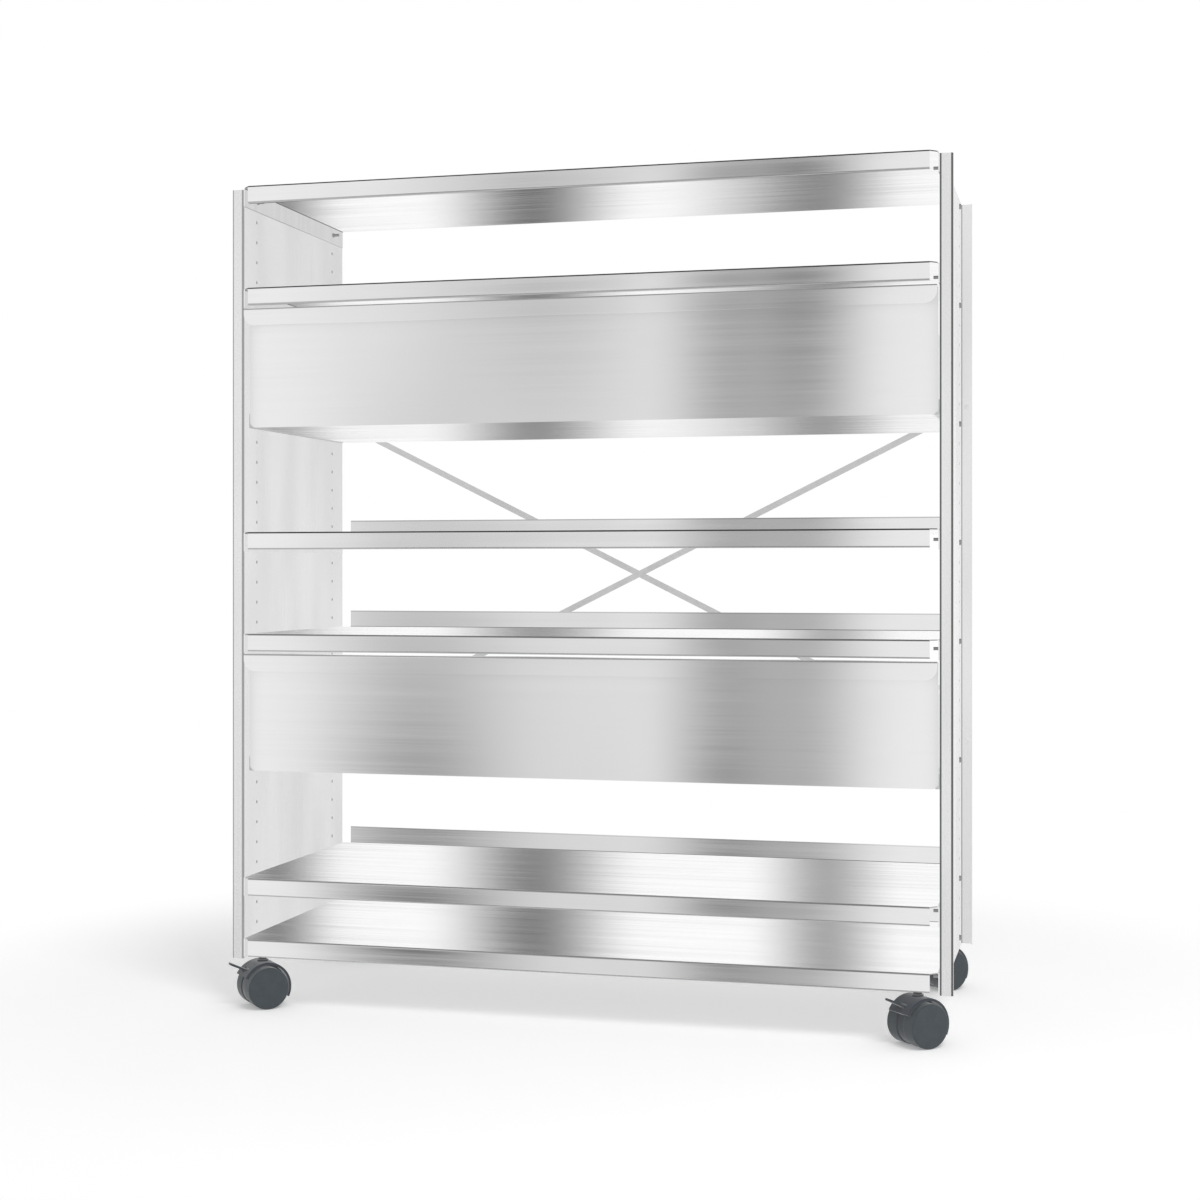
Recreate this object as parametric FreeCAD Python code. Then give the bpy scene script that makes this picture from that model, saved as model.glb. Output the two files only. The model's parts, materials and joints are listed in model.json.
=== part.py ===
import FreeCAD, Part
import math
import os

from FreeCAD import Vector

# A double-depth sheet-metal bookcase on castors: two channel side panels with
# rows of fixing holes, six folded shelves, two full-width drawers on telescopic
# slides, a cross-brace of two flat straps and four twin-wheel swivel castors.
#
# Millimetres.  X runs to the right, Y from front to back and Z up.  The origin
# is on the floor, midway between the side panels and midway through their depth.

# --- Carcass -----------------------------------------------------------------
BAY_WIDTH = 1086.0  # clear width between the webs of the side panels
PANEL_DEPTH = 415.5  # front face to rear face of a side panel
PANEL_FLANGE = 19.4  # web inner face to outer edge of the flange
PANEL_RETURN = 9.0  # return lip at the outer edge of each flange
PANEL_SHEET = 2.0
BEND_RADIUS = 1.2  # inside radius of every fold

# --- Fixing-hole grid --------------------------------------------------------
HOLE_PITCH = 32.0
HOLE_ROWS = 38
HOLE_RADIUS = 2.5
HOLE_INSET = 50.0  # hole column to the nearer panel face
LOWEST_ROW = 91.5  # lowest hole row above the floor
PANEL_BELOW_ROWS = 17.8  # panel below the lowest hole row
PANEL_ABOVE_ROWS = 11.5  # panel above the highest hole row

# --- Shelves -----------------------------------------------------------------
SHELF_SHEET = 1.5
DECK_ABOVE_ROW = 15.0  # top of a shelf above the row that its screws use
LIP_DROP = 27.5  # front lip, from the top of the shelf down
LIP_REACH = 12.4  # front lip in front of the side panels
LIP_RETURN = 7.0  # lower edge of the front lip, folded to the back
LIP_END_GAP = 13.0  # end of the lip to the panel web
SIDE_DROP = 30.0  # side flange, from the top of the shelf down
SIDE_GAP = 0.25  # side flange to the panel web
SIDE_FRONT_SETBACK = 0.5  # front end of the side flange behind the panel face
SIDE_REAR_SETBACK = 4.5  # rear end of the side flange before the shelf's rear
UPSTAND_RISE = 28.5  # rear upstand above the top of the shelf
UPSTAND_END_GAP = 16.0  # end of the upstand to the panel web
REAR_SETBACK = 0.5  # shelf's rear face before the rear of the side panels
SHELF_ROWS = {
    "bottom_shelf": 0,
    "low_shelf": 3,
    "lower_drawer_shelf": 15,
    "middle_shelf": 20,
    "upper_drawer_shelf": 32,
    "top_shelf": 37,
}

# --- Fixing screws (M5) ------------------------------------------------------
SCREW_RADIUS = 2.4
SCREW_HEAD_RADIUS = 4.5
SCREW_HEAD_HEIGHT = 2.8
SOCKET_ACROSS_FLATS = 3.0
SOCKET_DEPTH = 1.7
SCREW_TIP = 11.0  # end of a shelf screw inside the side flange
THREAD_GAP = 0.05  # screw to its nut
CLINCH_NUT_RADIUS = 3.8
CLINCH_NUT_HEIGHT = 1.6
NUT_ACROSS_FLATS = 8.0
NUT_HEIGHT = 4.0

# --- Drawers -----------------------------------------------------------------
DRAWERS = {"upper": (26, "upper_drawer_shelf"), "lower": (9, "lower_drawer_shelf")}
FACE_SHEET = 1.5
FACE_SETBACK = 18.1  # drawer face behind the panel front
FACE_SIDE_GAP = 3.0  # drawer face to the panel web
FACE_TOP_GAP = 4.5  # below the front lip of the shelf above
DRAWER_BELOW_ROW = 10.8  # underside of the drawer below the row of its slides
PULL_REACH = 23.5  # pull in front of the drawer face
PULL_DROP = 27.0
PULL_CORNER = 18.0
FACE_CORNER = 10.0
TRAY_SHEET = 1.2
TRAY_HEIGHT = 130.0
TRAY_REAR_GAP = 15.5  # tray to the rear of the side panels
TRAY_RIM = 9.0  # rim folded inwards along the top of the tray
STUD_RADIUS = 2.0
STUD_LENGTH = 7.0
STUD_GAP = 0.15  # stud to its hole in the tray
STUD_NUT_FLATS = 7.0
STUD_NUT_HEIGHT = 3.2
STUD_COUNT = 4
STUD_SPACING = 300.0
STUD_HEIGHT = 60.0  # above the underside of the drawer

# --- Telescopic slides -------------------------------------------------------
SLIDE_SPACE = 13.0  # panel web to the side of the tray
SLIDE_FRONT_GAP = 2.0  # slide behind the drawer face
SLIDE_REAR_GAP = 2.4  # slide before the rear of the tray
SLIDE_SHEET = 1.2
SLIDE_HEIGHT = 22.0
SLIDE_GAP = 0.5  # running clearance between nested members
OUTER_WRAP = 8.0  # how far the outer member reaches from the web
INNER_WRAP = 8.5  # how far the inner member reaches from the tray

# --- Cross-brace -------------------------------------------------------------
STRAP_WIDTH = 10.0
STRAP_THICKNESS = 1.5
STRAP_EYE_RADIUS = 7.0
STRAP_HALF_RISE = 274.0  # strap end above or below the middle of the panels
BRACE_SCREW_TIP = 8.0  # end of a brace screw inside the rear flange

# --- Castors -----------------------------------------------------------------
CASTOR_SIDE_INSET = 31.5  # swivel axis to the panel web
CASTOR_FRONT_INSET = 2.5  # front swivel axis behind the panel front
CASTOR_REAR_INSET = 8.0  # rear swivel axis before the panel rear
CASTOR_HEADING = 223.0  # direction of the brake side, degrees from +X
WHEEL_RADIUS = 32.5
WHEEL_EDGE = 2.5  # rounding of the wheel's edges
WHEEL_OUTER_FACE = 31.0  # from the castor's middle plane
WHEEL_CAP = 4.0  # closed outer wall of the wheel
WHEEL_GAP = 0.5  # wheel to the housing's web
AXLE_RADIUS = 4.0
RUNNING_GAP = 0.1  # radial clearance of axle, swivel pin and brake pin
HOUSING_WEB = 13.0  # thickness between the two wheels
WEB_RECESS = 1.5  # rim of the web inside the treads
HOOD_RADIUS = 39.5
HOOD_WALL = 4.0
HOOD_WIDTH = 48.0
HOOD_EDGE = 2.0
HOOD_FRONT_ANGLE = 28.0  # ends of the hood, degrees from the brake side up
HOOD_REAR_ANGLE = 205.0
NECK_RADIUS = 8.7
NECK_RISE = 2.0  # neck above the hood
NECK_SINK = 5.5  # neck below the top of the hood
SWIVEL_GAP = 0.2  # neck to the stem's collar
SWIVEL_PIN_RADIUS = 4.0
SWIVEL_PIN_LENGTH = 27.0
COLLAR_RADIUS = 6.5
STEM_RADIUS = 4.0
STEM_NUT_FLATS = 13.0
STEM_NUT_HEIGHT = 6.5
STEM_TIP = 4.0  # stem above its nut

# --- Castor brackets ---------------------------------------------------------
BRACKET_WIDTH = 26.0
BRACKET_LENGTH = 50.0
BRACKET_SHEET = 2.0
BRACKET_END = 7.0  # swivel axis to the outer end of the bracket
BRACKET_ABOVE_LIP = 0.5  # bracket above the lower edge of the front lip

# --- Brake levers (front castors) --------------------------------------------
LEVER_PIN_REACH = 37.2  # lever pin from the axle
LEVER_PIN_ANGLE = 45.0
LEVER_PIN_RADIUS = 1.25
LEVER_BARREL_RADIUS = 2.8
LEVER_LENGTH = 29.8
LEVER_RISE = 25.0  # slope of the raised lever, degrees
LEVER_WIDTH = 16.0
LEVER_THICKNESS = 3.0
LEVER_TIP_CORNER = 3.5
LEVER_SIDE_GAP = 0.6
LEVER_SLOT_FROM = 38.0  # slot in the hood, degrees
LEVER_SLOT_TO = 51.0
LEVER_EAR_WIDTH = 3.0

# --- Worked out from the sizes above -----------------------------------------
HALF_BAY = BAY_WIDTH / 2
PANEL_FRONT = -PANEL_DEPTH / 2
PANEL_REAR = PANEL_DEPTH / 2
PANEL_EDGE = HALF_BAY + PANEL_FLANGE
PANEL_BOTTOM = LOWEST_ROW - PANEL_BELOW_ROWS
PANEL_TOP = LOWEST_ROW + (HOLE_ROWS - 1) * HOLE_PITCH + PANEL_ABOVE_ROWS
HOLE_COLUMNS = (PANEL_FRONT + HOLE_INSET, PANEL_REAR - HOLE_INSET)
SHELF_REAR = PANEL_REAR - REAR_SETBACK
FACE_FRONT = PANEL_FRONT + FACE_SETBACK
FACE_BACK = FACE_FRONT + FACE_SHEET
TRAY_HALF_WIDTH = HALF_BAY - SLIDE_SPACE
TRAY_REAR = PANEL_REAR - TRAY_REAR_GAP
SLIDE_FRONT = FACE_BACK + SLIDE_FRONT_GAP
SLIDE_LENGTH = TRAY_REAR - SLIDE_REAR_GAP - SLIDE_FRONT
STUD_XS = [STUD_SPACING * (i - (STUD_COUNT - 1) / 2) for i in range(STUD_COUNT)]
BRACE_X = HALF_BAY + PANEL_FLANGE / 2
BRACE_MIDDLE = (PANEL_BOTTOM + PANEL_TOP) / 2
HOOD_TOP = WHEEL_RADIUS + HOOD_RADIUS
NECK_TOP = HOOD_TOP + NECK_RISE
COLLAR_BOTTOM = NECK_TOP + SWIVEL_GAP
BOTTOM_DECK = LOWEST_ROW + SHELF_ROWS["bottom_shelf"] * HOLE_PITCH + DECK_ABOVE_ROW
BRACKET_BOTTOM = BOTTOM_DECK - LIP_DROP + BRACKET_ABOVE_LIP
WEB_HALF = HOUSING_WEB / 2
WHEEL_INNER_FACE = WEB_HALF + WHEEL_GAP
AXLE_HALF_LENGTH = WHEEL_OUTER_FACE - WHEEL_CAP - WHEEL_GAP
LEVER_PIN_X = LEVER_PIN_REACH * math.cos(math.radians(LEVER_PIN_ANGLE))
LEVER_PIN_Z = WHEEL_RADIUS + LEVER_PIN_REACH * math.sin(math.radians(LEVER_PIN_ANGLE))
LEVER_SLOT_HALF = LEVER_WIDTH / 2 + LEVER_SIDE_GAP
LEVER_PIN_HALF = LEVER_SLOT_HALF + LEVER_EAR_WIDTH

AXIS_X = Vector(1, 0, 0)
AXIS_Y = Vector(0, 1, 0)
AXIS_Z = Vector(0, 0, 1)
ORIGIN = Vector(0, 0, 0)

CASTORS = {
    "front_left": (-1, PANEL_FRONT + CASTOR_FRONT_INSET),
    "front_right": (1, PANEL_FRONT + CASTOR_FRONT_INSET),
    "rear_left": (-1, PANEL_REAR - CASTOR_REAR_INSET),
    "rear_right": (1, PANEL_REAR - CASTOR_REAR_INSET),
}
BRAKED = ("front_left", "front_right")


# --- Geometry helpers --------------------------------------------------------
def row_height(row):
    return LOWEST_ROW + row * HOLE_PITCH


def box(low, high):
    """Block between two opposite corners."""
    size = high - low
    return Part.makeBox(size.x, size.y, size.z, low)


def rod(start, end, radius):
    """Round bar from one point to another."""
    run = end - start
    return Part.makeCylinder(radius, run.Length, start, run)


def mirrored(shape):
    """The same piece on the other side of the bookcase."""
    return shape.mirror(ORIGIN, AXIS_X)


def both_sides(shapes):
    return shapes + [mirrored(shape) for shape in shapes]


def circles(shape, radius):
    """Round edges of a shape that have the given radius."""
    arcs = [edge for edge in shape.Edges if isinstance(edge.Curve, Part.Circle)]
    return [arc for arc in arcs if abs(arc.Curve.Radius - radius) < THREAD_GAP]


def hex_bar(base, direction, across_flats, height):
    """Six-sided bar standing on its base."""
    corner = across_flats / math.sqrt(3)
    points = []
    for i in range(7):
        angle = math.radians(60 * i)
        points.append(Vector(corner * math.sin(angle), corner * math.cos(angle), 0))
    bar = Part.Face(Part.makePolygon(points)).extrude(AXIS_Z * height)
    bar.Placement = FreeCAD.Placement(base, FreeCAD.Rotation(AXIS_Z, direction))
    return bar


def hex_nut(seat, direction, across_flats, height, bore):
    """Nut standing on its seat."""
    blank = hex_bar(seat, direction, across_flats, height)
    return blank.cut(rod(seat, seat + direction * height, bore))


def pan_screw(seat, direction, length):
    """Socket screw with its head on the seat and its shank going in along the direction."""
    crown = seat - direction * SCREW_HEAD_HEIGHT
    head = rod(seat, crown, SCREW_HEAD_RADIUS)
    rim = [edge for edge in head.Edges if edge.Closed and edge.CenterOfMass.isEqual(crown, THREAD_GAP)]
    head = head.makeFillet(SCREW_HEAD_HEIGHT / 2, rim)
    head = head.cut(hex_bar(crown, direction, SOCKET_ACROSS_FLATS, SOCKET_DEPTH))
    return head.fuse(rod(seat, seat + direction * length, SCREW_RADIUS)).removeSplitter()


def rounded_edges(points, radii):
    """Straight runs through the points, with an arc of its own radius at each inner one."""
    edges = []
    start = points[0]
    for i, radius in enumerate(radii):
        corner = points[i + 1]
        into = (corner - points[i]).normalize()
        out = (points[i + 2] - corner).normalize()
        half_turn = into.getAngle(out) / 2
        reach = radius * math.tan(half_turn)
        inward = (out - into).normalize()
        middle = corner + inward * (radius / math.cos(half_turn) - radius)
        arc_start = corner - into * reach
        arc_end = corner + out * reach
        edges.append(Part.LineSegment(start, arc_start).toShape())
        edges.append(Part.Arc(arc_start, middle, arc_end).toShape())
        start = arc_end
    edges.append(Part.LineSegment(start, points[-1]).toShape())
    return edges


def folded_sheet(points, normal, thickness, run):
    """Sheet folded along the points and as long as the run.

    The points follow one skin, and the metal is on their left, seen with the
    normal towards the eye.  Every fold has the same inside radius.
    """
    sides = [normal.cross((b - a).normalize()) for a, b in zip(points, points[1:])]
    inner = [points[0] + sides[0] * thickness]
    skin_radii = []
    inner_radii = []
    for before, after, corner in zip(sides, sides[1:], points[1:]):
        inner.append(corner + (before + after) * (thickness / (1 + before.dot(after))))
        turns_left = before.cross(after).dot(normal) > 0
        skin_radii.append(BEND_RADIUS + thickness if turns_left else BEND_RADIUS)
        inner_radii.append(BEND_RADIUS if turns_left else BEND_RADIUS + thickness)
    inner.append(points[-1] + sides[-1] * thickness)
    edges = rounded_edges(points, skin_radii)
    edges.append(Part.LineSegment(points[-1], inner[-1]).toShape())
    edges += rounded_edges(inner[::-1], inner_radii[::-1])
    edges.append(Part.LineSegment(inner[0], points[0]).toShape())
    return Part.Face(Part.Wire(edges)).extrude(run)


def polygon_plate(points, thickness):
    """Flat plate with the outline as its top face."""
    face = Part.Face(Part.makePolygon(points + points[:1]))
    return face.extrude(AXIS_Z * -thickness)


def corner_waste(corner, toward, radius, depth):
    """What is cut off a plate's lower corner, in the XZ plane, to round it.

    toward is +1 or -1 for a corner whose plate lies towards +X or -X.
    """
    near = corner + Vector(toward * radius, 0, radius)
    low = Vector(min(corner.x, near.x), corner.y, corner.z)
    high = Vector(max(corner.x, near.x), corner.y + depth, near.z)
    keep = rod(near, near + AXIS_Y * depth, radius)
    return box(low, high).cut(keep)


# --- Side panels -------------------------------------------------------------
def side_panel():
    """Right-hand panel: a channel with its web on the inside and its flanges outwards."""
    skin = [
        Vector(PANEL_EDGE, PANEL_FRONT + PANEL_RETURN, PANEL_BOTTOM),
        Vector(PANEL_EDGE, PANEL_FRONT, PANEL_BOTTOM),
        Vector(HALF_BAY, PANEL_FRONT, PANEL_BOTTOM),
        Vector(HALF_BAY, PANEL_REAR, PANEL_BOTTOM),
        Vector(PANEL_EDGE, PANEL_REAR, PANEL_BOTTOM),
        Vector(PANEL_EDGE, PANEL_REAR - PANEL_RETURN, PANEL_BOTTOM),
    ]
    height = PANEL_TOP - PANEL_BOTTOM
    panel = folded_sheet(skin, AXIS_Z * -1, PANEL_SHEET, AXIS_Z * height)
    holes = []
    for row in range(HOLE_ROWS):
        for y in HOLE_COLUMNS:
            start = Vector(HALF_BAY - PANEL_SHEET, y, row_height(row))
            holes.append(rod(start, start + AXIS_X * (3 * PANEL_SHEET), HOLE_RADIUS))
    for z in (BRACE_MIDDLE - STRAP_HALF_RISE, BRACE_MIDDLE + STRAP_HALF_RISE):
        start = Vector(BRACE_X, PANEL_REAR - 2 * PANEL_SHEET, z)
        holes.append(rod(start, start + AXIS_Y * (3 * PANEL_SHEET), HOLE_RADIUS))
    return panel.cut(holes)


# --- Shelves -----------------------------------------------------------------
def shelf(row):
    """Folded shelf: front lip with its return and side flanges down, rear upstand up."""
    top = row_height(row) + DECK_ABOVE_ROW
    lip_front = PANEL_FRONT - LIP_REACH
    lip_end = HALF_BAY - LIP_END_GAP
    side_out = HALF_BAY - SIDE_GAP
    side_front = PANEL_FRONT + SIDE_FRONT_SETBACK
    side_rear = SHELF_REAR - SIDE_REAR_SETBACK
    fold = BEND_RADIUS + SHELF_SHEET
    front_to_back = [
        Vector(-lip_end, lip_front + LIP_RETURN, top - LIP_DROP),
        Vector(-lip_end, lip_front, top - LIP_DROP),
        Vector(-lip_end, lip_front, top),
        Vector(-lip_end, SHELF_REAR - SHELF_SHEET, top),
        Vector(-lip_end, SHELF_REAR - SHELF_SHEET, top + UPSTAND_RISE),
    ]
    side_to_side = [
        Vector(side_out, side_front, top - SIDE_DROP),
        Vector(side_out, side_front, top),
        Vector(-side_out, side_front, top),
        Vector(-side_out, side_front, top - SIDE_DROP),
    ]
    corner = [
        Vector(lip_end, lip_front + fold, top),
        Vector(side_out - fold, side_front, top),
        Vector(lip_end, side_front, top),
    ]
    lengthwise = folded_sheet(front_to_back, AXIS_X * -1, SHELF_SHEET, AXIS_X * (2 * lip_end))
    crosswise = folded_sheet(
        side_to_side, AXIS_Y * -1, SHELF_SHEET, AXIS_Y * (side_rear - side_front)
    )
    pieces = [crosswise] + both_sides([polygon_plate(corner, SHELF_SHEET)])
    plate = lengthwise.fuse(pieces).removeSplitter()
    waste = box(
        Vector(HALF_BAY - UPSTAND_END_GAP, SHELF_REAR - fold, top - SHELF_SHEET),
        Vector(HALF_BAY, SHELF_REAR, top + UPSTAND_RISE),
    )
    holes = []
    for y in HOLE_COLUMNS:
        start = Vector(side_out + SHELF_SHEET, y, row_height(row))
        holes.append(rod(start, start - AXIS_X * (3 * SHELF_SHEET), HOLE_RADIUS))
    return plate.cut(both_sides([waste] + holes))


def web_screws(rows, tip):
    """Screws through the webs of both panels, with their shanks ending at the tip."""
    seat_x = HALF_BAY + PANEL_SHEET
    screws = []
    for row in rows:
        for y in HOLE_COLUMNS:
            seat = Vector(seat_x, y, row_height(row))
            screws.append(pan_screw(seat, AXIS_X * -1, seat_x - tip))
    return both_sides(screws)


def shelf_nuts():
    """Round clinch nuts on the inner faces of the shelves' side flanges."""
    seat_x = HALF_BAY - SIDE_GAP - SHELF_SHEET
    nuts = []
    for row in SHELF_ROWS.values():
        for y in HOLE_COLUMNS:
            seat = Vector(seat_x, y, row_height(row))
            end = seat - AXIS_X * CLINCH_NUT_HEIGHT
            collar = rod(seat, end, CLINCH_NUT_RADIUS)
            nuts.append(collar.cut(rod(seat, end, SCREW_RADIUS + THREAD_GAP)))
    return both_sides(nuts)


# --- Drawers -----------------------------------------------------------------
def drawer_levels(name):
    """Underside and top of a drawer's face."""
    row, shelf_name = DRAWERS[name]
    bottom = row_height(row) - DRAWER_BELOW_ROW
    deck = row_height(SHELF_ROWS[shelf_name]) + DECK_ABOVE_ROW
    return bottom, deck - LIP_DROP - FACE_TOP_GAP


def drawer_front(name):
    """Face folded forward and down at its top into a pull, with four weld studs behind."""
    bottom, top = drawer_levels(name)
    half = HALF_BAY - FACE_SIDE_GAP
    pull_front = FACE_FRONT - PULL_REACH
    skin = [
        Vector(-half, pull_front, top - PULL_DROP),
        Vector(-half, pull_front, top),
        Vector(-half, FACE_BACK, top),
        Vector(-half, FACE_BACK, bottom),
    ]
    front = folded_sheet(skin, AXIS_X * -1, FACE_SHEET, AXIS_X * (2 * half))
    waste = both_sides(
        [
            corner_waste(Vector(half, pull_front, top - PULL_DROP), -1, PULL_CORNER, FACE_SHEET),
            corner_waste(Vector(half, FACE_FRONT, bottom), -1, FACE_CORNER, FACE_SHEET),
        ]
    )
    studs = []
    for x in STUD_XS:
        foot = Vector(x, FACE_BACK, bottom + STUD_HEIGHT)
        studs.append(rod(foot, foot + AXIS_Y * STUD_LENGTH, STUD_RADIUS))
    return front.cut(waste).fuse(studs)


def drawer_tray(name):
    """Open box with a rim folded inwards along its sides and back."""
    bottom, _ = drawer_levels(name)
    half = TRAY_HALF_WIDTH
    top = bottom + TRAY_HEIGHT
    inset = TRAY_SHEET
    outer = box(Vector(-half, FACE_BACK, bottom), Vector(half, TRAY_REAR, top))
    inside = box(
        Vector(inset - half, FACE_BACK + inset, bottom + inset),
        Vector(half - inset, TRAY_REAR - inset, top - inset),
    )
    mouth = box(
        Vector(TRAY_RIM - half, FACE_BACK + inset, top - inset),
        Vector(half - TRAY_RIM, TRAY_REAR - TRAY_RIM, top),
    )
    upright = [e for e in outer.Edges if abs(e.Length - TRAY_HEIGHT) < inset]
    shell = outer.makeFillet(inset, upright).cut([inside, mouth])
    holes = []
    for x in STUD_XS:
        start = Vector(x, FACE_BACK, bottom + STUD_HEIGHT)
        holes.append(rod(start, start + AXIS_Y * (2 * inset), STUD_RADIUS + STUD_GAP))
    return shell.cut(holes)


def front_nuts(name):
    bottom, _ = drawer_levels(name)
    nuts = []
    for x in STUD_XS:
        seat = Vector(x, FACE_BACK + TRAY_SHEET, bottom + STUD_HEIGHT)
        bore = STUD_RADIUS + THREAD_GAP
        nuts.append(hex_nut(seat, AXIS_Y, STUD_NUT_FLATS, STUD_NUT_HEIGHT, bore))
    return nuts


# --- Telescopic slides -------------------------------------------------------
def slide_member(height, back_x, open_x, z):
    """Channel along Y with its back at back_x and its mouth at open_x."""
    half = height / 2
    wall = SLIDE_SHEET if open_x > back_x else -SLIDE_SHEET
    front = Vector(min(back_x, open_x), SLIDE_FRONT, z - half)
    blank = Part.makeBox(abs(open_x - back_x), SLIDE_LENGTH, height, front)
    hollow_low = Vector(min(back_x + wall, open_x), SLIDE_FRONT, z - half + SLIDE_SHEET)
    hollow = Part.makeBox(
        abs(open_x - back_x - wall), SLIDE_LENGTH, height - 2 * SLIDE_SHEET, hollow_low
    )
    return blank.cut(hollow)


def slide_outer(z):
    """Right-hand outer member, screwed to the panel web through two fixing holes."""
    member = slide_member(SLIDE_HEIGHT, HALF_BAY, HALF_BAY - OUTER_WRAP, z)
    holes = []
    for y in HOLE_COLUMNS:
        start = Vector(HALF_BAY, y, z)
        holes.append(rod(start, start - AXIS_X * SLIDE_SHEET, SCREW_RADIUS + THREAD_GAP))
    return member.cut(holes)


def slide_middle(z):
    """Right-hand middle member, nested between the outer and the inner one."""
    height = SLIDE_HEIGHT - 2 * (SLIDE_SHEET + SLIDE_GAP)
    back = HALF_BAY - SLIDE_SHEET - SLIDE_GAP
    mouth = TRAY_HALF_WIDTH + SLIDE_SHEET + SLIDE_GAP
    return slide_member(height, back, mouth, z)


def slide_inner(z):
    """Right-hand inner member, on the side of the tray."""
    height = SLIDE_HEIGHT - 4 * (SLIDE_SHEET + SLIDE_GAP)
    return slide_member(height, TRAY_HALF_WIDTH, TRAY_HALF_WIDTH + INNER_WRAP, z)


# --- Cross-brace -------------------------------------------------------------
def strap(direction, layer):
    """Flat strap with an eye at each end; direction is +1 where it rises to the right."""
    y = PANEL_REAR + layer * STRAP_THICKNESS
    run = Vector(direction * 2 * BRACE_X, 0, 2 * STRAP_HALF_RISE)
    length = run.Length
    low = Vector(-direction * BRACE_X, y, BRACE_MIDDLE - STRAP_HALF_RISE)
    bar = Part.makeBox(
        length, STRAP_THICKNESS, STRAP_WIDTH, Vector(0, 0, -STRAP_WIDTH / 2)
    )
    depth = AXIS_Y * STRAP_THICKNESS
    ends = [ORIGIN, AXIS_X * length]
    eyes = [rod(end, end + depth, STRAP_EYE_RADIUS) for end in ends]
    holes = [rod(end, end + depth, HOLE_RADIUS) for end in ends]
    flat = bar.fuse(eyes).cut(holes).removeSplitter()
    tilt = math.degrees(math.atan2(run.z, run.x))
    flat.rotate(ORIGIN, AXIS_Y, -tilt)
    flat.translate(low)
    return flat


def brace_ends():
    """Each strap end: its X and Z, and how many strap thicknesses its strap stands off."""
    ends = []
    for direction, layer in ((-1, 0), (1, 1)):
        for end in (-1, 1):
            x = direction * end * BRACE_X
            ends.append((x, BRACE_MIDDLE + end * STRAP_HALF_RISE, layer))
    return ends


def brace_screws():
    screws = []
    for x, z, layer in brace_ends():
        stack = (layer + 1) * STRAP_THICKNESS
        length = stack + PANEL_SHEET + BRACE_SCREW_TIP
        screws.append(pan_screw(Vector(x, PANEL_REAR + stack, z), AXIS_Y * -1, length))
    return screws


def brace_nuts():
    nuts = []
    for x, z, _ in brace_ends():
        seat = Vector(x, PANEL_REAR - PANEL_SHEET, z)
        bore = SCREW_RADIUS + THREAD_GAP
        nuts.append(hex_nut(seat, AXIS_Y * -1, NUT_ACROSS_FLATS, NUT_HEIGHT, bore))
    return nuts


def brace_spacers():
    """Washers that fill the gap behind the outer strap's eyes."""
    spacers = []
    for x, z, layer in brace_ends():
        start = Vector(x, PANEL_REAR, z)
        end = start + AXIS_Y * (layer * STRAP_THICKNESS)
        if layer:
            washer = rod(start, end, STRAP_EYE_RADIUS)
            spacers.append(washer.cut(rod(start, end, HOLE_RADIUS)))
    return spacers


# --- Castor brackets and stems -----------------------------------------------
def castor_spot(name):
    """Point on the floor below a castor's swivel axis."""
    side, y = CASTORS[name]
    return Vector(side * (HALF_BAY - CASTOR_SIDE_INSET), y, 0)


def castor_bracket(name):
    """Channel under the bottom shelf that carries a castor's stem."""
    spot = castor_spot(name)
    half = BRACKET_WIDTH / 2
    top = BOTTOM_DECK - SHELF_SHEET
    inward = 1 if spot.y < 0 else -1
    start = spot.y - inward * BRACKET_END
    skin = [
        Vector(spot.x - half, start, top),
        Vector(spot.x - half, start, BRACKET_BOTTOM),
        Vector(spot.x + half, start, BRACKET_BOTTOM),
        Vector(spot.x + half, start, top),
    ]
    run = AXIS_Y * (inward * BRACKET_LENGTH)
    channel = folded_sheet(skin, AXIS_Y * -1, BRACKET_SHEET, run)
    foot = Vector(spot.x, spot.y, BRACKET_BOTTOM)
    hole = rod(foot, foot + AXIS_Z * BRACKET_SHEET, STEM_RADIUS + RUNNING_GAP)
    return channel.cut(hole)


def castor_stem(name):
    """Swivel pin, collar and threaded stem in one turned piece."""
    spot = castor_spot(name)
    levels = (
        (COLLAR_BOTTOM - SWIVEL_PIN_LENGTH, COLLAR_BOTTOM, SWIVEL_PIN_RADIUS),
        (COLLAR_BOTTOM, BRACKET_BOTTOM, COLLAR_RADIUS),
        (BRACKET_BOTTOM, BRACKET_BOTTOM + BRACKET_SHEET + STEM_NUT_HEIGHT + STEM_TIP, STEM_RADIUS),
    )
    rods = [rod(spot + AXIS_Z * low, spot + AXIS_Z * high, r) for low, high, r in levels]
    return rods[0].fuse(rods[1:]).removeSplitter()


def castor_stem_nut(name):
    seat = castor_spot(name) + AXIS_Z * (BRACKET_BOTTOM + BRACKET_SHEET)
    bore = STEM_RADIUS + THREAD_GAP
    return hex_nut(seat, AXIS_Z, STEM_NUT_FLATS, STEM_NUT_HEIGHT, bore)


# --- Castors, made at the origin with the brake side towards +X --------------
def turned(outline, from_angle, to_angle):
    """Outline of (radius, width) points spun about the axle between two angles."""
    points = [Vector(radius, width, WHEEL_RADIUS) for radius, width in outline]
    face = Part.Face(Part.makePolygon(points + points[:1]))
    centre = AXIS_Z * WHEEL_RADIUS
    face.rotate(centre, AXIS_Y, -from_angle)
    return face.revolve(centre, AXIS_Y * -1, to_angle - from_angle)


def axle_rod(half_length, radius, lift=WHEEL_RADIUS, shift=0.0):
    """Bar across the castor, centred on its middle plane."""
    return rod(Vector(shift, -half_length, lift), Vector(shift, half_length, lift), radius)


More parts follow.
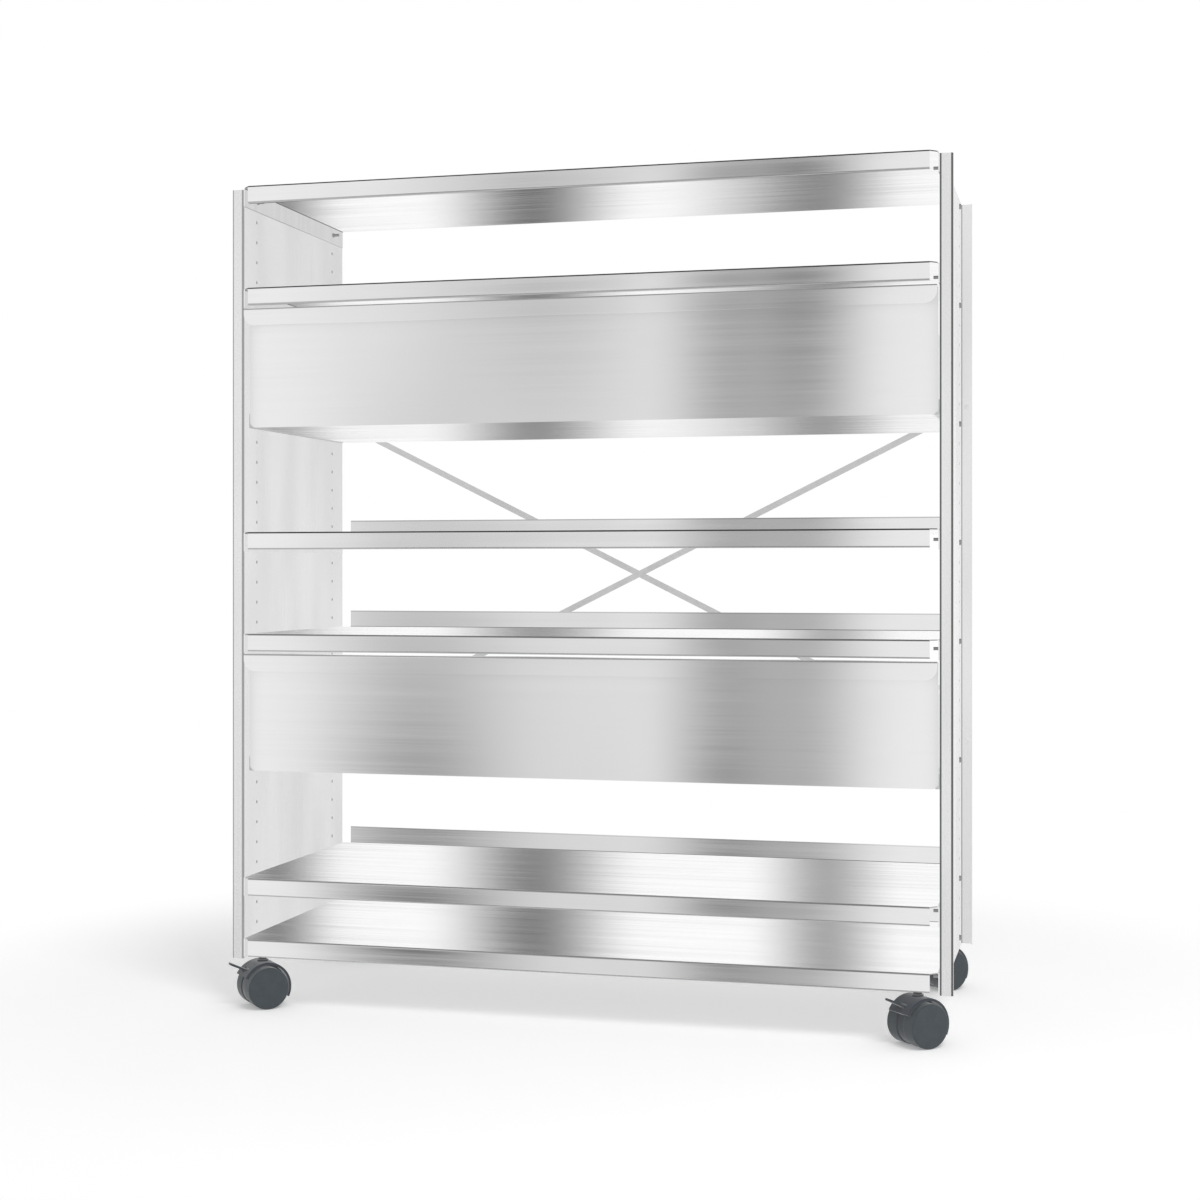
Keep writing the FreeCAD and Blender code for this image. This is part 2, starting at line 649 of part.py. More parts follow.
def castor_housing(braked):
    """Hood over both wheels, the round web between them, and the neck on top."""
    half = HOOD_WIDTH / 2
    inner = HOOD_RADIUS - HOOD_WALL
    hood = turned(
        [(inner, half), (inner, -half), (HOOD_RADIUS, -half), (HOOD_RADIUS, half)],
        HOOD_FRONT_ANGLE,
        HOOD_REAR_ANGLE,
    )
    hood = hood.makeFillet(HOOD_EDGE, circles(hood, HOOD_RADIUS))
    root = inner + HOOD_WALL / 2
    web_outline = [(0, -WEB_HALF), (root, -WEB_HALF), (root, WEB_HALF), (0, WEB_HALF)]
    web = turned(web_outline, HOOD_FRONT_ANGLE, HOOD_REAR_ANGLE)
    disc = axle_rod(WEB_HALF, WHEEL_RADIUS - WEB_RECESS)
    neck = rod(AXIS_Z * (HOOD_TOP - NECK_SINK), AXIS_Z * NECK_TOP, NECK_RADIUS)
    body = hood.fuse([web, disc, neck])
    pin_bore = SWIVEL_PIN_RADIUS + RUNNING_GAP
    pin_depth = SWIVEL_PIN_LENGTH + SWIVEL_GAP
    bores = [
        axle_rod(WEB_HALF, AXLE_RADIUS + THREAD_GAP),
        rod(AXIS_Z * (NECK_TOP - pin_depth), AXIS_Z * NECK_TOP, pin_bore),
    ]
    if braked:
        body = body.fuse(axle_rod(LEVER_PIN_HALF, LEVER_BARREL_RADIUS, LEVER_PIN_Z, LEVER_PIN_X))
        bores += [
            lever_slot(),
            axle_rod(LEVER_PIN_HALF, LEVER_PIN_RADIUS + THREAD_GAP, LEVER_PIN_Z, LEVER_PIN_X),
        ]
    return body.cut(bores).removeSplitter()


def lever_slot():
    """Room for the lever in the hood and in the front of the web."""
    outline = [
        (WHEEL_RADIUS, -LEVER_SLOT_HALF),
        (HOOD_RADIUS + HOOD_WALL, -LEVER_SLOT_HALF),
        (HOOD_RADIUS + HOOD_WALL, LEVER_SLOT_HALF),
        (WHEEL_RADIUS, LEVER_SLOT_HALF),
    ]
    return turned(outline, LEVER_SLOT_FROM, LEVER_SLOT_TO)


def castor_wheel(side):
    """Wheel with a blind bore and a closed outer face; side is +1 or -1."""
    centre = AXIS_Z * WHEEL_RADIUS
    inner = centre + AXIS_Y * WHEEL_INNER_FACE
    outer = centre + AXIS_Y * WHEEL_OUTER_FACE
    wheel = rod(inner, outer, WHEEL_RADIUS)
    wheel = wheel.makeFillet(WHEEL_EDGE, circles(wheel, WHEEL_RADIUS))
    wheel = wheel.cut(rod(inner, outer - AXIS_Y * WHEEL_CAP, AXLE_RADIUS + RUNNING_GAP))
    if side < 0:
        wheel = wheel.mirror(ORIGIN, AXIS_Y)
    return wheel


def brake_lever():
    """Raised pedal with its hinge barrel; it pivots on a pin through the hood."""
    half = LEVER_WIDTH / 2
    flat = LEVER_THICKNESS / 2
    blade = box(Vector(0, -half, -flat), Vector(LEVER_LENGTH, half, flat))
    tip = [
        e
        for e in blade.Edges
        if abs(e.Length - LEVER_THICKNESS) < flat / 10 and e.CenterOfMass.x > half
    ]
    blade = blade.makeFillet(LEVER_TIP_CORNER, tip)
    barrel = rod(AXIS_Y * -half, AXIS_Y * half, LEVER_BARREL_RADIUS - THREAD_GAP)
    bore = rod(AXIS_Y * -half, AXIS_Y * half, LEVER_PIN_RADIUS + RUNNING_GAP)
    lever = blade.fuse(barrel).cut(bore).removeSplitter()
    lever.rotate(ORIGIN, AXIS_Y, -LEVER_RISE)
    lever.translate(Vector(LEVER_PIN_X, 0, LEVER_PIN_Z))
    return lever


def castor_pieces(name):
    """The moving pieces of one castor, turned to its heading over its spot."""
    braked = name in BRAKED
    pieces = {
        "castor_housing": castor_housing(braked),
        "castor_axle": axle_rod(AXLE_HALF_LENGTH, AXLE_RADIUS),
        "castor_wheel_a": castor_wheel(1),
        "castor_wheel_b": castor_wheel(-1),
    }
    if braked:
        pieces["brake_lever"] = brake_lever()
        pieces["brake_pin"] = axle_rod(LEVER_PIN_HALF, LEVER_PIN_RADIUS, LEVER_PIN_Z, LEVER_PIN_X)
    placed = {}
    for kind, piece in pieces.items():
        piece.rotate(ORIGIN, AXIS_Z, CASTOR_HEADING)
        piece.translate(castor_spot(name))
        placed[f"{kind}_{name}"] = piece
    return placed


# --- Assembly ----------------------------------------------------------------
def carcass_nodes():
    panel = side_panel()
    nodes = {"side_panel_right": panel, "side_panel_left": mirrored(panel)}
    for name, row in SHELF_ROWS.items():
        nodes[name] = shelf(row)
    slide_rows = [row for row, _ in DRAWERS.values()]
    shelf_tip = HALF_BAY - SIDE_GAP - SHELF_SHEET - SCREW_TIP
    slide_tip = HALF_BAY - SLIDE_SHEET
    nodes["shelf_screws"] = Part.makeCompound(web_screws(SHELF_ROWS.values(), shelf_tip))
    nodes["shelf_nuts"] = Part.makeCompound(shelf_nuts())
    nodes["slide_screws"] = Part.makeCompound(web_screws(slide_rows, slide_tip))
    nodes["brace_strap_inner"] = strap(-1, 0)
    nodes["brace_strap_outer"] = strap(1, 1)
    nodes["brace_screws"] = Part.makeCompound(brace_screws())
    nodes["brace_nuts"] = Part.makeCompound(brace_nuts())
    nodes["brace_spacers"] = Part.makeCompound(brace_spacers())
    return nodes


def drawer_nodes():
    nodes = {}
    for name, (row, _) in DRAWERS.items():
        z = row_height(row)
        nodes[f"{name}_drawer_front"] = drawer_front(name)
        nodes[f"{name}_drawer_tray"] = drawer_tray(name)
        nodes[f"{name}_drawer_nuts"] = Part.makeCompound(front_nuts(name))
        members = {"outer": slide_outer(z), "middle": slide_middle(z), "inner": slide_inner(z)}
        for kind, member in members.items():
            nodes[f"{name}_slide_{kind}_right"] = member
            nodes[f"{name}_slide_{kind}_left"] = mirrored(member)
    return nodes


def castor_nodes():
    nodes = {
        "castor_brackets": Part.makeCompound([castor_bracket(name) for name in CASTORS]),
        "castor_stems": Part.makeCompound([castor_stem(name) for name in CASTORS]),
        "castor_stem_nuts": Part.makeCompound([castor_stem_nut(name) for name in CASTORS]),
    }
    for name in CASTORS:
        nodes.update(castor_pieces(name))
    return nodes


def main():
    os.makedirs("parts", exist_ok=True)
    nodes = {**carcass_nodes(), **drawer_nodes(), **castor_nodes()}
    for name, shape in nodes.items():
        shape.exportStep(f"parts/{name}.step")
    print(len(nodes), "nodes")


main()
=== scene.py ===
import json
import math

import bpy
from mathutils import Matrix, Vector

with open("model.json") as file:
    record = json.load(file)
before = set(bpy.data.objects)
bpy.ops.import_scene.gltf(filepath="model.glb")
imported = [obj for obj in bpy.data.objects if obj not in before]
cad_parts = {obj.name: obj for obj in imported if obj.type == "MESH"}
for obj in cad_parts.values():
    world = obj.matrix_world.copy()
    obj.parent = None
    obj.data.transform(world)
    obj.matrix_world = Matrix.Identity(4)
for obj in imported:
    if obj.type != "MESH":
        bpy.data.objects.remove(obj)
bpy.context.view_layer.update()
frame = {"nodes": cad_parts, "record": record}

# The looks of a brushed sheet-metal bookcase on dark twin-wheel castors, set
# around the CAD frame.  Metres; X to the right, Y to the back, Z up.

# --- Camera ------------------------------------------------------------------
CAMERA_PLACE = (0.7758, -3.06125, 0.6844)
CAMERA_TURN = 14.494  # degrees to the left of +Y
CAMERA_PITCH = 90.0  # degrees from straight down, so the camera is level
SENSOR_WIDTH = 36.0
CAMERA_LENS = 58.785
CAMERA_SHIFT_Y = -0.0237

# --- Studio ------------------------------------------------------------------
# White soft boxes stand all round the object, with darker gaps between them
# that show as soft bands in the metal.  An azimuth is in degrees, 0 towards -Y
# and positive towards +X.  Each gap has its azimuth, its half-width, its
# darkness below, at and above the horizon, and its lean in degrees per degree.
FRONT_LEVEL = 0.98
BACK_LEVEL = 1.12
BACK_START = 0.50  # part of a direction towards +Y where the level starts to rise
BACK_FULL = 0.86
STUDIO_GAPS = (
    (-19.9, 4.3, 0.80, 0.27, 0.02, 0.0),
    (-15.6, 4.9, 0.21, 0.08, 0.42, -0.07),
    (-10.9, 2.4, 0.72, 0.47, 0.55, 0.0),
    (-8.6, 2.6, 0.54, 0.44, 0.73, 0.0),
    (-155.9, 2.2, 0.90, 0.13, 0.90, 0.0),
    (-163.4, 3.4, 0.85, 0.52, 0.82, 0.0),
    (-172.0, 2.4, 0.50, 0.50, 0.62, 0.0),
    (-170.0, 4.0, 0.60, 0.0, 0.0, 0.08),
    (155.0, 14.0, 0.33, 0.27, 0.39, 0.0),
)
# Gaps that show from other sides: azimuth, half-width and darkness
SIDE_GAPS = (
    (13.0, 3.2, 0.50), (21.0, 3.0, 0.40), (31.0, 5.0, 0.55), (43.0, 3.5, 0.40),
    (56.0, 5.0, 0.55), (70.0, 4.0, 0.40), (90.0, 13.0, 0.28), (108.0, 4.0, 0.40),
    (120.0, 5.0, 0.50), (133.0, 4.0, 0.40), (145.0, 3.0, 0.45), (164.0, 2.4, 0.40),
    (170.0, 2.2, 0.50), (180.0, 2.2, 0.42),
    (-34.0, 3.2, 0.50), (-42.0, 4.0, 0.40), (-53.0, 4.5, 0.55), (-66.0, 4.0, 0.40),
    (-78.0, 4.0, 0.40), (-90.0, 13.0, 0.28), (-105.0, 4.0, 0.40), (-117.0, 5.0, 0.50),
    (-130.0, 4.0, 0.40), (-141.0, 4.0, 0.50), (-180.0, 2.2, 0.42),
)
HORIZON_SHARE = 0.85  # of a side gap's darkness, at the horizon
GAP_TURNOVER = 10.0  # degrees from the horizon to a gap's full change of darkness
CEILING_START = 24.0  # degrees above the horizon
CEILING_END = 60.0
CEILING_LEVEL = 0.50
PAGE_LEVEL = 1.0  # what the camera sees behind the object
WHITE = (1.0, 1.0, 1.0, 1.0)

# One lamp lights the plastic and the floor
LAMP_PLACE = (1.8, -2.4, 3.2)
LAMP_AIM = (0.0, 0.0, 0.6)
LAMP_SIZE = 1.6
LAMP_POWER = 60.0

FLOOR_SIZE = 14.0
FLOOR_COLOUR = (0.93, 0.93, 0.93, 1.0)
FLOOR_LIFT = 0.22  # white of the page added to the floor by the object
FLOOR_FADE_START = 0.75  # from the middle of the object
FLOOR_FADE_END = 1.35

# --- Colours -----------------------------------------------------------------
SHEET_COLOUR = (0.84, 0.84, 0.84)
PANEL_COLOUR = (0.94, 0.94, 0.94)
TRAY_COLOUR = (0.80, 0.80, 0.80)
BRACKET_COLOUR = (0.72, 0.72, 0.72)
STRAP_COLOUR = (0.72, 0.72, 0.72)
SLIDE_COLOUR = (0.60, 0.61, 0.62)
FASTENER_COLOUR = (0.34, 0.34, 0.35)
BRIGHT_COLOUR = (0.86, 0.86, 0.86)
CASTOR_STEEL_COLOUR = (0.10, 0.10, 0.105)
WHEEL_COLOUR = (0.049, 0.061, 0.070)
HOUSING_COLOUR = (0.038, 0.045, 0.056)

# --- Painted shade on folds and edges ----------------------------------------
# Darker tones that follow the shape of the sheet, as in the photo
FOLD_FULL = 0.985  # largest part of the normal where the fold's painted shade is full
FLAT = 0.9995  # largest part of the normal on a flat face
ACROSS = 0.7  # part of the normal along an axis, on faces across that axis
WALL_START = 0.4  # part of the normal across the web where a hole's wall starts to fade
WALL_END = 0.6
LEVEL_START = 0.9  # upright part of the normal where an edge starts to count as level
LEVEL_FULL = 0.95
WEB_HALF_DEPTH = 0.198  # web of a side panel, without its folds
OUTER_FOLD = 0.556  # the panels' outer folds lie further from the middle than this
HOLE_PITCH = 0.032  # shelves stand on this pitch
DECK_IN_PITCH = 0.00975  # a deck's middle above a multiple of the pitch
DECK_HALF_BAND = 0.0012
RIM_IN_PITCH = 0.006  # middle of the upstand's top edge above a multiple of the pitch
RIM_HALF_BAND = 0.001
RIM_FRONT = 0.2035  # an upstand lies behind this
RIM_SHARE = 0.4  # of a fold's shade
LIP_EDGE_IN_PITCH = 0.0165  # middle of the lip's lower fold above a multiple of the pitch
LIP_EDGE_HALF_BAND = 0.0018
LOW_SHELVES = 0.45  # the painted shade on folds is palest below this height
HIGH_SHELVES = 0.75  # and darkest above this one
CONTACT_REACH = 0.028  # how far the shade under a pull reaches
CONTACT_FULL = 0.35  # openness at which that shade is full
CONTACT_SAMPLES = 8

# --- Grain -------------------------------------------------------------------
# Noise scales, in cells per metre.  Brushed streaks have one scale across the
# brushing and another along it.
FINE_STREAKS = (420.0, 3.0)
BROAD_STREAKS = (70.0, 0.8)
SHEET_CLOUDS = (9.0, 9.0, 2.5)
PLATED_CLOUD = 140.0
PLATED_PATCH = 18.0
PLASTIC_TEXTURE = 1800.0
PLASTIC_RUB = 60.0

FINE_SHARE = 0.45  # of the grain
BROAD_SHARE = 0.55
GRAIN_SHARE = 0.75  # of the sheet's tone
CLOUD_SHARE = 0.25
NOISE_LOW = 0.35  # the noise values between which tone and roughness change
NOISE_HIGH = 0.65
WIDE_NOISE_LOW = 0.3  # the same, for the roughness of plating and plastic
WIDE_NOISE_HIGH = 0.7

SHEET_SPREAD = 0.035  # from the sheet's colour to its darkest and lightest streak
PLATED_DARKER = 0.12
PLATED_LIGHTER = 0.1
PLASTIC_DARKER = 0.92  # of the plastic's colour
PLASTIC_LIGHTER = 1.14

BRUSHING_TURN = 0.25  # a quarter turn lays the gloss across the tangent
ROUGHNESS_SWING = 0.04  # of the brushed streaks
PLATED_SMOOTHER = 0.06
PLASTIC_SMOOTHER = 0.05
ROUGHER = 0.08  # of plating and plastic

SHEET_BUMP = 0.05
PLATED_BUMP = 0.04
PLASTIC_BUMP = 0.08
METAL_RELIEF = 0.0002  # height of the grain
PLASTIC_RELIEF = 0.0001

ALONG_X, ALONG_Y, ALONG_Z = range(3)

# Sockets of the colour mixing node
MIX_A = 6
MIX_B = 7
MIX_RESULT = 2


# --- Node helpers ------------------------------------------------------------
class Shader:
    """A material's or world's node tree, with short ways to add and join nodes."""

    def __init__(self, tree):
        self.tree = tree

    def node(self, kind, inputs=(), **settings):
        made = self.tree.nodes.new(kind)
        for name, value in settings.items():
            setattr(made, name, value)
        for name, value in dict(inputs).items():
            self.feed(made.inputs[name], value)
        return made

    def feed(self, socket, value):
        if isinstance(value, bpy.types.NodeSocket):
            self.tree.links.new(value, socket)
        else:
            socket.default_value = value

    def math(self, operation, first, second=0.0):
        made = self.node("ShaderNodeMath", {0: first, 1: second}, operation=operation)
        return made.outputs[0]

    def window(self, value, low, high, at_low, at_high):
        """Smooth step of the value from one level to another."""
        inputs = {
            "Value": value,
            "From Min": low,
            "From Max": high,
            "To Min": at_low,
            "To Max": at_high,
        }
        made = self.node("ShaderNodeMapRange", inputs, interpolation_type="SMOOTHSTEP")
        return made.outputs["Result"]

    def spread(self, noise):
        """Noise stretched to run from 0 to 1."""
        return self.window(noise, NOISE_LOW, NOISE_HIGH, 0.0, 1.0)

    def weighed(self, first, first_share, second, second_share):
        """Sum of two values, each times its share."""
        return self.math(
            "ADD",
            self.math("MULTIPLY", first, first_share),
            self.math("MULTIPLY", second, second_share),
        )

    def mix(self, share, first, second):
        """Colour between two tints; each is a socket or three numbers."""
        made = self.node("ShaderNodeMix", data_type="RGBA")
        self.feed(made.inputs["Factor"], share)
        for index, tint in ((MIX_A, first), (MIX_B, second)):
            self.feed(made.inputs[index], (*tint, 1.0) if isinstance(tint, tuple) else tint)
        return made.outputs[MIX_RESULT]

    def multiply(self, first, second):
        """Product of two colours."""
        made = self.node("ShaderNodeMix", {0: 1.0}, data_type="RGBA", blend_type="MULTIPLY")
        self.feed(made.inputs[MIX_A], first)
        self.feed(made.inputs[MIX_B], second)
        return made.outputs[MIX_RESULT]

    def split(self, vector):
        """The X, Y and Z outputs of a vector."""
        return self.node("ShaderNodeSeparateXYZ", {0: vector}).outputs

    def join(self, x, y, z):
        return self.node("ShaderNodeCombineXYZ", {"X": x, "Y": y, "Z": z}).outputs[0]

    def off_pitch(self, height, place_in_pitch):
        """Distance of a height from a level that repeats with the hole pitch."""
        in_pitch = self.math("MODULO", height, HOLE_PITCH)
        return self.math("ABSOLUTE", self.math("SUBTRACT", in_pitch, place_in_pitch))

    def facing(self):
        """Sizes of the three parts of the normal in the piece's own axes."""
        normal = self.node("ShaderNodeTexCoord").outputs["Normal"]
        return [self.math("ABSOLUTE", part) for part in self.split(normal)]

    def folds(self):
        """1 on folds and rounded corners, 0 on flat faces."""
        x, y, z = self.facing()
        flattest = self.math("MAXIMUM", self.math("MAXIMUM", x, y), z)
        return self.window(flattest, FOLD_FULL, FLAT, 1.0, 0.0)

    def hole_walls(self, place):
        """1 inside the holes through the web of a side panel."""
        # Painted shade inside the holes of a panel's web.
        across = self.window(self.facing()[ALONG_X], WALL_START, WALL_END, 1.0, 0.0)
        depth = self.math("ABSOLUTE", self.split(place)["Y"])
        return self.math("MULTIPLY", across, self.math("LESS_THAN", depth, WEB_HALF_DEPTH))

    def front_or_inner(self, place):
        """0 on the outer fold at a side panel's rear, which stays pale, and 1 elsewhere."""
        # Keeps the painted fold shade off the pale outer fold at a panel's rear.
        parts = self.split(place)
        outer = self.math("GREATER_THAN", self.math("ABSOLUTE", parts["X"]), OUTER_FOLD)
        rear = self.math("GREATER_THAN", parts["Y"], 0.0)
        return self.math("SUBTRACT", 1.0, self.math("MULTIPLY", outer, rear))

    def shaded_level_edges(self, place):
        """1 on a shelf's level edges, which lie above or below its deck."""
        # Painted shade on a shelf's level edges away from its deck, such as a lip's lower edge.
        level = self.window(self.facing()[ALONG_Z], LEVEL_START, LEVEL_FULL, 0.0, 1.0)
        off_deck = self.off_pitch(self.split(place)["Z"], DECK_IN_PITCH)
        clear = self.math("GREATER_THAN", off_deck, DECK_HALF_BAND)
        return self.math("MULTIPLY", level, clear)

    def rims(self, place):
        """The shade on the top edge of a shelf's rear upstand, 0 elsewhere."""
        parts = self.split(place)
        off_rim = self.off_pitch(parts["Z"], RIM_IN_PITCH)
        level = self.math("LESS_THAN", off_rim, RIM_HALF_BAND)
        edge = self.math("MULTIPLY", level, self.math("GREATER_THAN", parts["Y"], RIM_FRONT))
        return self.math("MULTIPLY", edge, RIM_SHARE)

    def dark_folds(self, place):
        """1 on the folds of high shelves, less on low ones, and 0 at a lip's lower fold."""
        # How dark the painted fold shade is: darkest on high shelves, paler on low ones and at a
        # lip's lower fold.
        height = self.split(place)["Z"]
        raised = self.window(height, LOW_SHELVES, HIGH_SHELVES, 0.0, 1.0)
        off_lip = self.off_pitch(height, LIP_EDGE_IN_PITCH)
        clear = self.math("GREATER_THAN", off_lip, LIP_EDGE_HALF_BAND)
        return self.math("MULTIPLY", raised, clear)

    def under_pulls(self):
        """1 where a face is closely covered, as under a pull, 0 in the open."""
        # Painted shade: ambient occlusion darkens the colour under a pull and in other close nooks.
        inputs = {"Distance": CONTACT_REACH}
        near = self.node("ShaderNodeAmbientOcclusion", inputs, samples=CONTACT_SAMPLES)
        return self.window(near.outputs["AO"], CONTACT_FULL, 1.0, 1.0, 0.0)

    def brushing(self, along):
        """Brushing direction: along the axis, and upright on faces across it."""
        across = self.math("GREATER_THAN", self.facing()[along], ACROSS)
        direction = [0.0, 0.0, across]
        direction[along] = self.math("SUBTRACT", 1.0, across) if along != ALONG_Z else 1.0
        return self.join(*direction)

    def laid_along_x(self, place):
        """Place whose X runs upwards on faces across X, as on a folded-up side."""
        parts = self.split(place)
        folded = self.join(parts["Z"], parts["Y"], parts["X"])
        across = self.math("GREATER_THAN", self.facing()[ALONG_X], ACROSS)
        return self.mix(across, place, folded)

    def noise(self, place, scales, detail=4.0, roughness=0.6):
        """Noise with its own scale along each axis, or one scale for all three."""
        if isinstance(scales, float):
            scales = (scales,) * 3
        scaled = self.node("ShaderNodeMapping", {"Vector": place, "Scale": scales})
        inputs = {
            "Vector": scaled.outputs[0],
            "Scale": 1.0,
            "Detail": detail,
            "Roughness": roughness,
        }
        return self.node("ShaderNodeTexNoise", inputs).outputs["Fac"]

    def bump(self, height, strength, relief):
        inputs = {"Height": height, "Strength": strength, "Distance": relief}
        return self.node("ShaderNodeBump", inputs).outputs[0]

    def white(self, kind, level):
        """White light, from a background or an emission node."""
        return self.node(kind, {"Color": WHITE, "Strength": level}).outputs[0]

    def either(self, share, first, second):
        """Shader between two others."""
        return self.node("ShaderNodeMixShader", {0: share, 1: first, 2: second}).outputs[0]


def new_material(name):
    material = bpy.data.materials.new(name)
    material.use_nodes = True
    shader = Shader(material.node_tree)
    surface = material.node_tree.nodes["Principled BSDF"]
    place = shader.node("ShaderNodeTexCoord").outputs["Object"]
    return material, shader, surface, place


def toned(colour, factor):
    return tuple(min(1.0, channel * factor) for channel in colour)


def streak_scales(scales, along):
    across_scale, along_scale = scales
    made = [across_scale] * 3
    made[along] = along_scale
    return made


# --- Materials ---------------------------------------------------------------
def brushed_sheet(
    name, along, colour, fold, roughness=0.12, strength=1.0, low_fold=None, clouding=0.0, detail=None
):
    """Sheet brushed along one axis, with streaks, slow clouding and darker folds.

    The fold and low_fold are shares of the colour that the painted shade leaves on the
    folds, and on the folds of low shelves.  The strength is that of the streaks.
    The clouding is how much the clouds darken the colour.
    """
    material, shader, surface, place = new_material(name)
    sheet_place = shader.laid_along_x(place) if along == ALONG_X else place
    fine = streak_scales(FINE_STREAKS, along)
    broad = streak_scales(BROAD_STREAKS, along)
    streaks = shader.noise(sheet_place, fine, detail=6.0, roughness=0.7)
    bands = shader.noise(sheet_place, broad, detail=3.0)
    clouds = shader.noise(place, SHEET_CLOUDS, detail=1.0)
    grain = shader.weighed(streaks, FINE_SHARE, bands, BROAD_SHARE)
    tone = shader.weighed(grain, GRAIN_SHARE, clouds, CLOUD_SHARE)

    half_spread = SHEET_SPREAD * strength
    dark = toned(colour, 1 - half_spread)
    light = toned(colour, 1 + half_spread)
    sheet = shader.mix(shader.spread(tone), dark, light)
    if clouding:
        clouded = shader.mix(shader.spread(clouds), (1.0 - clouding,) * 3, (1.0,) * 3)
        sheet = shader.multiply(sheet, clouded)

    # Painted shade and reflection: the colour darkens on folds and rounded corners, in a panel's
    # holes, on a shelf's level edges and rims, and under a pull.
    shaded = shader.folds()
    if detail == "holes":
        shaded = shader.math("MULTIPLY", shaded, shader.front_or_inner(place))
        shaded = shader.math("MAXIMUM", shaded, shader.hole_walls(place))
    if detail == "edges":
        shaded = shader.math("MAXIMUM", shaded, shader.shaded_level_edges(place))
        shaded = shader.math("MAXIMUM", shaded, shader.rims(place))
    if detail == "contact":
        shaded = shader.math("MAXIMUM", shaded, shader.under_pulls())
    painted_fold_shade = toned(colour, fold)
    if low_fold is not None:
        painted_fold_shade = shader.mix(shader.dark_folds(place), toned(colour, low_fold), painted_fold_shade)
    shader.feed(surface.inputs["Base Color"], shader.mix(shaded, sheet, painted_fold_shade))

    surface.inputs["Metallic"].default_value = 1.0
    swing = ROUGHNESS_SWING * strength
    rough = shader.window(grain, NOISE_LOW, NOISE_HIGH, roughness - swing, roughness + swing)
    shader.feed(surface.inputs["Roughness"], rough)
    surface.inputs["Anisotropic"].default_value = 1.0
    surface.inputs["Anisotropic Rotation"].default_value = BRUSHING_TURN
    shader.feed(surface.inputs["Tangent"], shader.brushing(along))
    bump = shader.bump(streaks, SHEET_BUMP * strength, METAL_RELIEF)
    shader.feed(surface.inputs["Normal"], bump)
    return material


def plated_steel(name, colour, roughness, spangle=1.0):
    """Zinc-plated or blackened steel with a faint cloudy spangle."""
    material, shader, surface, place = new_material(name)
    cloud = shader.noise(place, PLATED_CLOUD, detail=5.0)
    patch = shader.noise(place, PLATED_PATCH, detail=2.0)
    tone = shader.weighed(cloud, 0.5, patch, 0.5)
    dark = toned(colour, 1 - PLATED_DARKER * spangle)
    light = toned(colour, 1 + PLATED_LIGHTER * spangle)
    shader.feed(surface.inputs["Base Color"], shader.mix(shader.spread(tone), dark, light))
    surface.inputs["Metallic"].default_value = 1.0
    rough = shader.window(
        cloud, WIDE_NOISE_LOW, WIDE_NOISE_HIGH, roughness - PLATED_SMOOTHER, roughness + ROUGHER
    )
    shader.feed(surface.inputs["Roughness"], rough)
    shader.feed(surface.inputs["Normal"], shader.bump(cloud, PLATED_BUMP, METAL_RELIEF))
    return material


def moulded_plastic(name, colour, roughness):
    """Dark satin plastic with a fine mould texture and paler rubbed patches."""
    material, shader, surface, place = new_material(name)
    texture = shader.noise(place, PLASTIC_TEXTURE, detail=3.0)
    rub = shader.noise(place, PLASTIC_RUB, detail=5.0, roughness=0.7)
    dark = toned(colour, PLASTIC_DARKER)
    light = toned(colour, PLASTIC_LIGHTER)
    rubbed = shader.window(rub, NOISE_LOW, WIDE_NOISE_HIGH, 0.0, 1.0)
    shader.feed(surface.inputs["Base Color"], shader.mix(rubbed, dark, light))
    rough = shader.window(
        rub, WIDE_NOISE_LOW, WIDE_NOISE_HIGH, roughness - PLASTIC_SMOOTHER, roughness + ROUGHER
    )
    shader.feed(surface.inputs["Roughness"], rough)
    shader.feed(surface.inputs["Normal"], shader.bump(texture, PLASTIC_BUMP, PLASTIC_RELIEF))
    return material


def panel_sheet(name, fold):
    return brushed_sheet(
        name, ALONG_Z, PANEL_COLOUR, fold, roughness=0.24, strength=0.9, clouding=0.06, detail="holes"
    )


def slot_materials():
    """One material for each material slot of the record."""
    # The number after each colour is the share of it that the painted shade on folds leaves.
    return {
        "panel_sheet": panel_sheet("panel_brushed", 0.18),
        "shelf_sheet": brushed_sheet(
            "shelf_brushed", ALONG_X, SHEET_COLOUR, 0.12, low_fold=0.62, detail="edges"
        ),
        "drawer_front_sheet": brushed_sheet(
            "drawer_front_brushed", ALONG_X, SHEET_COLOUR, 0.8, strength=0.65, detail="contact"
        ),
        "drawer_tray_sheet": brushed_sheet("drawer_tray_brushed", ALONG_X, TRAY_COLOUR, 0.5),
        "bracket_sheet": brushed_sheet(
            "bracket_mill", ALONG_Y, BRACKET_COLOUR, 0.5, roughness=0.34, strength=0.6
        ),
        "brace_strap_steel": plated_steel("brace_zinc", STRAP_COLOUR, 0.38, spangle=0.5),
        "slide_steel": plated_steel("slide_zinc", SLIDE_COLOUR, 0.32, spangle=0.5),
        "fastener_zinc": plated_steel("fastener_zinc", FASTENER_COLOUR, 0.30),
        "castor_steel": plated_steel("castor_blackened", CASTOR_STEEL_COLOUR, 0.36),
        "castor_housing_plastic": moulded_plastic("castor_housing", HOUSING_COLOUR, 0.34),
        "castor_wheel_plastic": moulded_plastic("castor_wheel", WHEEL_COLOUR, 0.42),
        "brake_lever_plastic": moulded_plastic("brake_lever", HOUSING_COLOUR, 0.36),
    }


def node_materials():
    """Materials of the pieces that look unlike the rest of their slot."""
    bright = plated_steel("bright_zinc", BRIGHT_COLOUR, 0.26)
    return {
        "brace_screws": bright,
        "brace_nuts": bright,
        "brace_spacers": bright,
        # The left panel gets a paler painted shade on its folds and in its holes than the right one.
        "side_panel_left": panel_sheet("panel_left_brushed", 0.45),
    }


